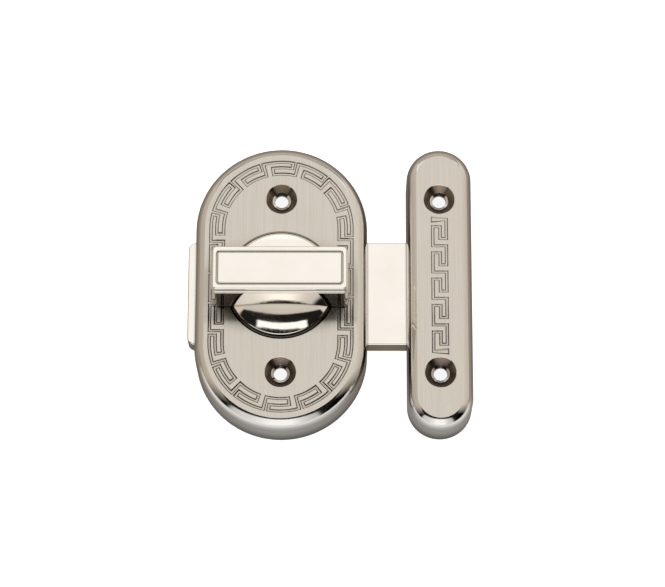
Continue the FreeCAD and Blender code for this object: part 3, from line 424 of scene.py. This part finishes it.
def makeNylon(settings):
    material, tree, shader, coordinates = startMaterial("nylon", settings)
    marks = addGroup(tree, handling, coordinates, {"Size": settings["marks"]})
    color = addMix(tree, marks["Smear"], settings["color"], settings["darker"])
    grain = addNoise(tree, coordinates, *settings["grain"])
    roughness = addRange(tree, grain, *noiseReach, *settings["roughness"])
    tree.links.new(color, shader.inputs["Base Color"])
    tree.links.new(roughness, shader.inputs["Roughness"])
    return material


finishes = {
    "satin_nickel": makeSatinNickel(satinSettings),
    "polished_nickel": makePolishedNickel(polishedSettings),
    "zinc_plate": makePlated("zincPlate"),
    "spring_steel": makePlated("springSteel"),
    "brass": makePlated("brass"),
    "nylon": makeNylon(nylonSettings),
}
for subPart in frame["record"]["subparts"]:
    for place in nodes[subPart["node"]].material_slots:
        place.material = finishes[subPart["material_slot"]]
print("stage: materials")


# The engraved key: its channel gets sloped walls and a soft lip, on a copy of each casting.
# Lengths here are in millimetres.

grooveProfile = {
    "levels": ((0.48, 0.0), (0.45, 0.02), (0.21, 0.28), (0.15, 0.30)),  # half width, depth
    "sloped": 1,  # the wall that takes the groove's painted shade, counted from 0 at the top
    "step": 0.5,
    "lip": 0.06,
}

housingKey = {
    "cells": 20,
    "inset": 4.05,
    "endInset": 0.4,
    "band": 3.3,
    "pitchRadius": 16.0,
    "runs": (0.855, 0.25),
    "middleShare": 0.46,
    "depth": 0.3,
    "lead": 0.25,
}

keeperKey = {
    "cells": 5,
    "pitch": 7.18,
    "band": 3.55,
    "runs": (0.724, 0.268),
    "middleShare": 0.46,
    "depth": 0.3,
}

brushedReach = (0.94, 0.99)  # how far up a surface faces where the brushing fades in
sameSpot = 1e-6


def keyCorners(settings, pitch, inner, outer):
    longRun, shortRun = settings["runs"]
    centre = outer - settings["middleShare"] * (outer - inner)
    corners = []
    for cell in range(settings["cells"]):
        start = cell * pitch
        corners += [(start, inner), (start, outer),
                    (start + longRun * pitch, outer), (start + longRun * pitch, centre),
                    (start + shortRun * pitch, centre), (start + shortRun * pitch, inner)]
    return corners


def heading(start, end):
    along, out = end[0] - start[0], end[1] - start[1]
    size = math.hypot(along, out)
    return along / size, out / size


def moved(before, corner, after, shift):
    first, second = heading(before, corner), heading(corner, after)
    return (corner[0] - shift * (first[1] + second[1]),
            corner[1] + shift * (first[0] + second[0]))


def divided(points, counts):
    spots = []
    for start, end, count in zip(points, points[1:], counts):
        for step in range(count):
            share = step / count
            spots.append((start[0] + share * (end[0] - start[0]),
                          start[1] + share * (end[1] - start[1])))
    return spots


def onStadium(along, out, straight, pitchRadius):
    quarter = math.pi * pitchRadius / 2
    along = along % (4 * quarter + 2 * straight)
    if along < quarter:
        centre, angle = straight / 2, along / pitchRadius
    elif along < quarter + straight:
        return out, straight / 2 - (along - quarter)
    elif along < 3 * quarter + straight:
        centre, angle = -straight / 2, (along - straight) / pitchRadius
    elif along < 3 * quarter + 2 * straight:
        return -out, -straight / 2 + (along - 3 * quarter - straight)
    else:
        centre, angle = straight / 2, (along - 2 * straight) / pitchRadius
    return out * math.sin(angle), centre + out * math.cos(angle)


def housingLoops(settings, shift):  # two closed loops, outer and inner wall of the channel
    low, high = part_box("housing")
    radius = (high[0] - low[0]) / 2 / millimetre
    straight = (high[1] - low[1]) / millimetre - 2 * radius - 2 * settings["endInset"]
    outer = radius - settings["inset"]
    inner = outer - settings["band"]
    total = 2 * math.pi * settings["pitchRadius"] + 2 * straight
    pitch = total / settings["cells"]
    corners = [(along - pitch / 2 - settings["lead"], out)
               for along, out in keyCorners(settings, pitch, inner, outer)]
    before = [(corners[-1][0] - total, corners[-1][1])] + corners[:-1]
    after = corners[1:] + [(corners[0][0] + total, corners[0][1])]
    counts = [max(1, round(abs(end[0] - start[0]) / grooveProfile["step"]))
              for start, end in zip(corners, after)]
    loops = []
    for side in (1, -1):
        points = [moved(a, b, c, side * shift) for a, b, c in zip(before, corners, after)]
        points.append((points[0][0] + total, points[0][1]))
        loops.append([onStadium(along, out, straight, settings["pitchRadius"])
                      for along, out in divided(points, counts)])
    return loops


def keeperLoops(settings, shift):  # one closed loop, down one wall and back up the other
    low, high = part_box("keeper")
    centre = (low[0] + high[0]) / 2 / millimetre
    half = settings["band"] / 2
    pitch = settings["pitch"]
    corners = keyCorners(settings, pitch, -half, half)
    corners += [(settings["cells"] * pitch, -half), (settings["cells"] * pitch, half)]
    path = [(corners[0][0], corners[0][1] - 1)] + corners
    path += [(corners[-1][0], corners[-1][1] + 1)]
    walls = []
    for side in (1, -1):
        run = [moved(a, b, c, side * shift) for a, b, c in zip(path, corners, path[2:])]
        run[0] = (run[0][0], run[0][1] - shift)
        run[-1] = (run[-1][0], run[-1][1] + shift)
        walls.append(run)
    top = settings["cells"] * pitch / 2
    return [[(centre + out, top - along) for along, out in walls[0] + walls[1][::-1]]]


def weldedCopy(node):
    source = nodes[node].data.copy()
    kept = source.attributes.new("cadNormal", "FLOAT_VECTOR", "CORNER")
    for corner, normal in zip(kept.data, source.corner_normals):
        corner.vector = normal.vector
    work = bmesh.new()
    work.from_mesh(source)
    bpy.data.meshes.remove(source)
    bmesh.ops.remove_doubles(work, verts=work.verts, dist=sameSpot)
    return work


def liesAt(verts, *heights):
    return all(any(abs(vert.co.z - height) < sameSpot for height in heights) for vert in verts)


def linkedLoops(edges):
    waiting = set(edges)
    loops = []
    while waiting:
        found, front = [], [waiting.pop()]
        while front:
            edge = front.pop()
            found.append(edge)
            for vert in edge.verts:
                for other in vert.link_edges:
                    if other in waiting:
                        waiting.remove(other)
                        front.append(other)
        loops.append(found)
    return loops


def loopSize(edges):
    spots = [vert.co for edge in edges for vert in edge.verts]
    middle = sum(spots, Vector()) / len(spots)
    return max((spot - middle).length for spot in spots), middle


def awayFrom(middle, vert):
    return Vector((vert.co.x - middle.x, vert.co.y - middle.y, 0)).normalized()


def softenHole(work, edges, lip):
    middle = loopSize(edges)[1]
    made = bmesh.ops.extrude_edge_only(work, edges=edges)["geom"]
    raised = [part for part in made if isinstance(part, bmesh.types.BMVert)]
    lowered = {vert for edge in edges for vert in edge.verts}
    for vert in lowered:
        vert.co -= awayFrom(middle, vert) * lip + Vector((0, 0, lip))
    for vert in raised:
        vert.co += awayFrom(middle, vert) * lip
    return [part for part in made if isinstance(part, bmesh.types.BMEdge)
            and all(vert in raised for vert in part.verts)]


def addWalls(work, rings):
    # The sloped wall is marked for the groove's painted shade.
    grooveShadeLayer = work.loops.layers.float.new("groove")
    for level, (upper, lower) in enumerate(zip(rings, rings[1:])):
        for high, low in zip(upper, lower):
            for k in range(len(high)):
                after = (k + 1) % len(high)
                face = work.faces.new((high[k], high[after], low[after], low[k]))
                for corner in face.loops:
                    corner[grooveShadeLayer] = float(level == grooveProfile["sloped"])
    work.edges.ensure_lookup_table()


def ringEdges(work, ring):
    return [work.edges.get((vert, ring[(k + 1) % len(ring)])) for k, vert in enumerate(ring)]


def fillFlat(work, edges):
    made = bmesh.ops.triangle_fill(work, use_beauty=True, use_dissolve=False,
                                   edges=edges, normal=(0, 0, 1))
    return [part for part in made["geom"] if isinstance(part, bmesh.types.BMFace)]


def turnUp(face):
    if face.normal.z < 0:
        face.normal_flip()


def smoothed(work, flats):  # new faces get their own normals, the others keep the CAD ones
    work.normal_update()
    for face in work.faces:
        face.smooth = True
    for face in flats:
        turnUp(face)
    normals = work.loops.layers.float_vector["cadNormal"]
    for face in work.faces:
        if any(corner[normals].length < 0.5 for corner in face.loops):  # has none yet
            turnUp(face)
            for corner in face.loops:
                corner[normals] = face.normal


def engravedCopy(name, node, settings, loopsAt, regions):
    work = weldedCopy(node)
    top = max(vert.co.z for vert in work.verts)
    bottom = top - settings["depth"] * millimetre
    gone = [face for face in work.faces if liesAt(face.verts, top, bottom)]
    bmesh.ops.delete(work, geom=gone, context="FACES")
    border = [edge for edge in work.edges
              if len(edge.link_faces) == 1 and liesAt(edge.verts, top)]
    outline, *holes = sorted(linkedLoops(border), key=lambda loop: -loopSize(loop)[0])
    lip = grooveProfile["lip"] * millimetre
    softened = [edge for hole in holes for edge in softenHole(work, hole, lip)]
    rings = []
    for shift, drop in grooveProfile["levels"]:
        height = top - drop * millimetre
        rings.append([[work.verts.new((x * millimetre, y * millimetre, height))
                       for x, y in loop] for loop in loopsAt(settings, shift)])
    addWalls(work, rings)

    borders = {"outline": outline, "holes": softened}
    borders.update(enumerate(ringEdges(work, ring) for ring in rings[0]))
    flats = []
    for region in regions:
        flats += fillFlat(work, [edge for part in region for edge in borders[part]])
    flats += fillFlat(work, [edge for ring in rings[-1] for edge in ringEdges(work, ring)])
    smoothed(work, flats)

    mesh = bpy.data.meshes.new(name)
    work.to_mesh(mesh)
    work.free()
    directions = [corner.vector.copy() for corner in mesh.attributes["cadNormal"].data]
    mesh.normals_split_custom_set(directions)
    mesh.attributes.remove(mesh.attributes["cadNormal"])
    brushed = mesh.attributes.new("brushed", "FLOAT", "CORNER")
    low, high = brushedReach
    for corner, direction in zip(brushed.data, directions):
        corner.value = min(1.0, max(0.0, (direction.z - low) / (high - low)))
    mesh.materials.append(finishes["satin_nickel"])
    piece = bpy.data.objects.new(name, mesh)
    scene.collection.objects.link(piece)
    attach(piece, "case")
    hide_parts(node)


# Each region of the flat face lies between its borders; a number is a loop of the channel.
engravedCopy("housingCasting", "housing", housingKey, housingLoops,
             (("outline", 0), (1, "holes")))
engravedCopy("keeperCasting", "keeper", keeperKey, keeperLoops, (("outline", 0, "holes"),))
print("stage: castings")


# Camera

cameraSettings = {
    "azimuth": 1.05,
    "elevation": 73.2,
    "roll": -0.95,
    "distance": 0.700,
    "target": (0.01340, -0.00072, 0.008),
    "lens": 144.5,
    "sensor": 36.0,
    "clip": (0.01, 20.0),
}


def makeCamera(settings):
    data = bpy.data.cameras.new("camera")
    data.sensor_width = settings["sensor"]
    data.lens = settings["lens"]
    data.clip_start, data.clip_end = settings["clip"]
    camera = bpy.data.objects.new("camera", data)
    scene.collection.objects.link(camera)
    tilt = math.radians(90 - settings["elevation"])
    turn = Matrix.Rotation(math.radians(settings["azimuth"]), 4, "Z")
    lean = Matrix.Rotation(tilt, 4, "X")
    roll = Matrix.Rotation(math.radians(settings["roll"]), 4, "Z")
    back = Matrix.Translation((0, 0, settings["distance"]))
    camera.matrix_world = Matrix.Translation(settings["target"]) @ turn @ lean @ roll @ back
    scene.camera = camera


makeCamera(cameraSettings)


# Light: a wide softbox overhead. The world around it holds a thin strip, the light in front
# and the dim sides, and is dark behind the softbox, because the two would add up.

softboxSettings = {
    "lean": 32.0,
    "spread": (40.0, 36.0),  # half its width and height as seen from the part, in degrees
    "radiance": 1.03,
    "distance": 0.9,
    "aim": (0.01, 0.0, 0.012),  # the point of the part that it faces
}


def makeSoftbox(settings):
    distance = settings["distance"]
    data = bpy.data.lights.new("overhead", "AREA")
    data.shape = "RECTANGLE"
    data.size, data.size_y = [2 * distance * math.tan(math.radians(half))
                              for half in settings["spread"]]
    data.energy = math.pi * settings["radiance"] * data.size * data.size_y
    lean = Matrix.Rotation(-math.radians(settings["lean"]), 4, "X")
    light = bpy.data.objects.new("overhead", data)
    light.matrix_world = (Matrix.Translation(settings["aim"]) @ lean
                          @ Matrix.Translation((0, 0, distance)))
    scene.collection.objects.link(light)


makeSoftbox(softboxSettings)

worldSettings = {
    "bow": 0.28,  # bends the profile and the strip towards both sides
    "profile": (  # from the north horizon over the top to the south horizon, in degrees
        (-90.0, (0.60, 0.56, 0.50, 1)), (-72.0, (0.56, 0.52, 0.46, 1)),
        (-62.0, (0.012, 0.011, 0.010, 1)), (4.0, (0.012, 0.011, 0.010, 1)),
        (4.3, (0.72, 0.69, 0.64, 1)), (15.4, (0.60, 0.57, 0.52, 1)),
        (16.2, (0.012, 0.011, 0.010, 1)), (90.0, (0.012, 0.011, 0.010, 1)),
    ),
    "sides": (  # from west to east
        (-1.0, (0.36, 0.295, 0.22, 1)), (-0.97, (0.56, 0.50, 0.42, 1)),
        (-0.70, (0.68, 0.615, 0.53, 1)), (0.70, (0.86, 0.80, 0.71, 1)),
        (0.97, (0.70, 0.64, 0.55, 1)), (1.0, (0.48, 0.41, 0.32, 1)),
    ),
    "slant": (-0.50, -0.10),  # the sides fade out towards the south
    "slantLean": 0.06,
    "rim": (0.632, 0.665),  # how far out the sides begin
    "bulge": 0.45,  # away from the middle below, they begin further in
    "bulgeMiddle": 0.38,
    "bulgeStart": (-0.18, -0.06),  # and only north of here
    "strip": ((23.9, 0.0), (24.5, 1.2), (30.0, 1.2), (30.6, 0.0)),  # degrees and radiance
    "stripHalf": (0.385, 0.425),
    "front": ((41.5, 0.0), (43.5, 1.0)),
    "frontSpread": (  # along the horizon, in degrees east of south
        (-51.0, 0.0), (-46.0, 0.75), (-28.0, 0.92), (-10.0, 1.25), (8.0, 1.25),
        (24.0, 0.78), (33.0, 0.66), (37.0, 0.0),
    ),
    "narrow": (0.68, 0.74, 1.0, 0.55),  # between these heights it gets wider upwards
}


def makeWorld(settings):
    world = bpy.data.worlds.new("world")
    world.use_nodes = True
    tree = world.node_tree
    axes = addSplit(tree, tree.nodes.new("ShaderNodeTexCoord").outputs["Generated"])
    wide = addMath(tree, "ABSOLUTE", axes["X"])
    south = addMath(tree, "MULTIPLY", axes["Y"], -1.0)
    angle = addMath(tree, "ARCTAN2", south, axes["Z"])
    bowed = addMath(tree, "DEGREES", addMath(
        tree, "ADD", angle, addMath(tree, "MULTIPLY", addSquare(tree, wide), settings["bow"])))
    color = addRamp(tree, bowed, settings["profile"])

    slant = addMath(tree, "SUBTRACT", axes["Y"],
                    addMath(tree, "MULTIPLY", axes["X"], settings["slantLean"]))
    sides = addVectors(tree, "MULTIPLY", addRamp(tree, axes["X"], settings["sides"]),
                       addRange(tree, slant, *settings["slant"], 0.0, 1.0))
    off = addMath(tree, "SUBTRACT", axes["Y"], settings["bulgeMiddle"])
    bulge = addMath(tree, "MULTIPLY", addSquare(tree, off), addRange(
        tree, axes["Y"], *settings["bulgeStart"], 0.0, settings["bulge"]))
    rim = addRange(tree, addMath(tree, "ADD", wide, bulge), *settings["rim"], 0.0, 1.0)
    color = addMix(tree, rim, color, sides)

    strip = addVectors(tree, "MULTIPLY", addRamp(tree, bowed, settings["strip"]),
                       addRange(tree, wide, *settings["stripHalf"], 1.0, 0.0))
    color = addVectors(tree, "ADD", color, strip)
    compass = addMath(tree, "DEGREES", addMath(tree, "ARCTAN2", axes["X"], south))
    narrowed = addMath(tree, "MULTIPLY", compass,
                       addRange(tree, axes["Z"], *settings["narrow"]))
    front = addVectors(tree, "MULTIPLY", addRamp(tree, narrowed, settings["frontSpread"]),
                       addRamp(tree, addMath(tree, "DEGREES", angle), settings["front"]))
    color = addVectors(tree, "ADD", color, front)
    tree.links.new(color, tree.nodes["Background"].inputs["Color"])
    scene.world = world


makeWorld(worldSettings)

floorSettings = {
    "metallic": 0.0,
    "color": (0.86, 0.86, 0.86, 1),
    "roughness": 0.9,
    "size": 3.0,
    "drop": 0.0002,
    "white": 0.90,
    "nearby": (0.0, 0.042, 0.37, 0.94),  # how bright metal sees it, by distance from the plates: a painted shadow around them
    "beside": (-0.020, -0.045, 0.42, 1.0),  # the same, from beside the plates to in front: painted light, brighter in front
    # painted shade colour: metal sees the dimmer floor beside the plates in a warm tint
    "shadeTint": (1.0, 0.87, 0.72, 1),
    "outlines": ((0.0, 0.0158, 0.0225), (0.0414, 0.0296, 0.0085)),  # middle, half run, radius
}


def addOutline(tree, axes, centre, half, radius):
    along = addMath(tree, "SUBTRACT", addMath(tree, "ABSOLUTE", axes["Y"]), half)
    along = addMath(tree, "MAXIMUM", along, 0.0)
    across = addMath(tree, "SUBTRACT", axes["X"], centre)
    span = addMath(tree, "ADD", addSquare(tree, along), addSquare(tree, across))
    return addMath(tree, "SUBTRACT", addMath(tree, "SQRT", span), radius)


def makeFloor(settings):
    mesh = bpy.data.meshes.new("floor")
    work = bmesh.new()
    bmesh.ops.create_grid(work, x_segments=1, y_segments=1, size=settings["size"])
    work.to_mesh(mesh)
    work.free()
    material, tree, shader, coordinates = startMaterial("floorPaper", settings)
    shader.inputs["Roughness"].default_value = settings["roughness"]
    shader.inputs["Specular IOR Level"].default_value = 0.0
    path = tree.nodes.new("ShaderNodeLightPath").outputs
    glossy = path["Is Glossy Ray"]
    # For metal's reflections the floor's own colour is black, so they see only its emission,
    # which holds a painted shadow near the plates and painted light in front.
    color = addMix(tree, glossy, settings["color"], black)
    tree.links.new(color, shader.inputs["Base Color"])

    axes = addSplit(tree, coordinates)
    # Painted shadow: in reflections the floor is dimmer close to the plates.
    spans = [addOutline(tree, axes, *outline) for outline in settings["outlines"]]
    nearShadow = addRange(tree, addMath(tree, "MINIMUM", *spans), *settings["nearby"])
    # Painted light: in reflections the floor is brighter in front of the plates than beside them.
    front = addRange(tree, axes["Y"], *settings["beside"])
    mirrored = addMath(tree, "MULTIPLY", glossy, addMath(tree, "MULTIPLY", nearShadow, front))
    # Painted shade colour: the dimmer floor turns warm in reflections.
    dimmest = settings["beside"][2]
    shadeTint = addMix(tree, addRange(tree, front, dimmest, 1.0, 0.0, 1.0), settings["shadeTint"], white)
    tree.links.new(addMix(tree, glossy, white, shadeTint), shader.inputs["Emission Color"])
    seen = addMath(tree, "MAXIMUM", path["Is Camera Ray"], path["Is Transmission Ray"])
    strength = addMath(tree, "MAXIMUM", mirrored,
                       addMath(tree, "MULTIPLY", seen, settings["white"]))
    tree.links.new(strength, shader.inputs["Emission Strength"])
    mesh.materials.append(material)
    floor = bpy.data.objects.new("floor", mesh)
    floor.location.z = -settings["drop"]
    scene.collection.objects.link(floor)


makeFloor(floorSettings)
scene.view_settings.view_transform = "Standard"
print("stage: light and floor")

print("stage: done")
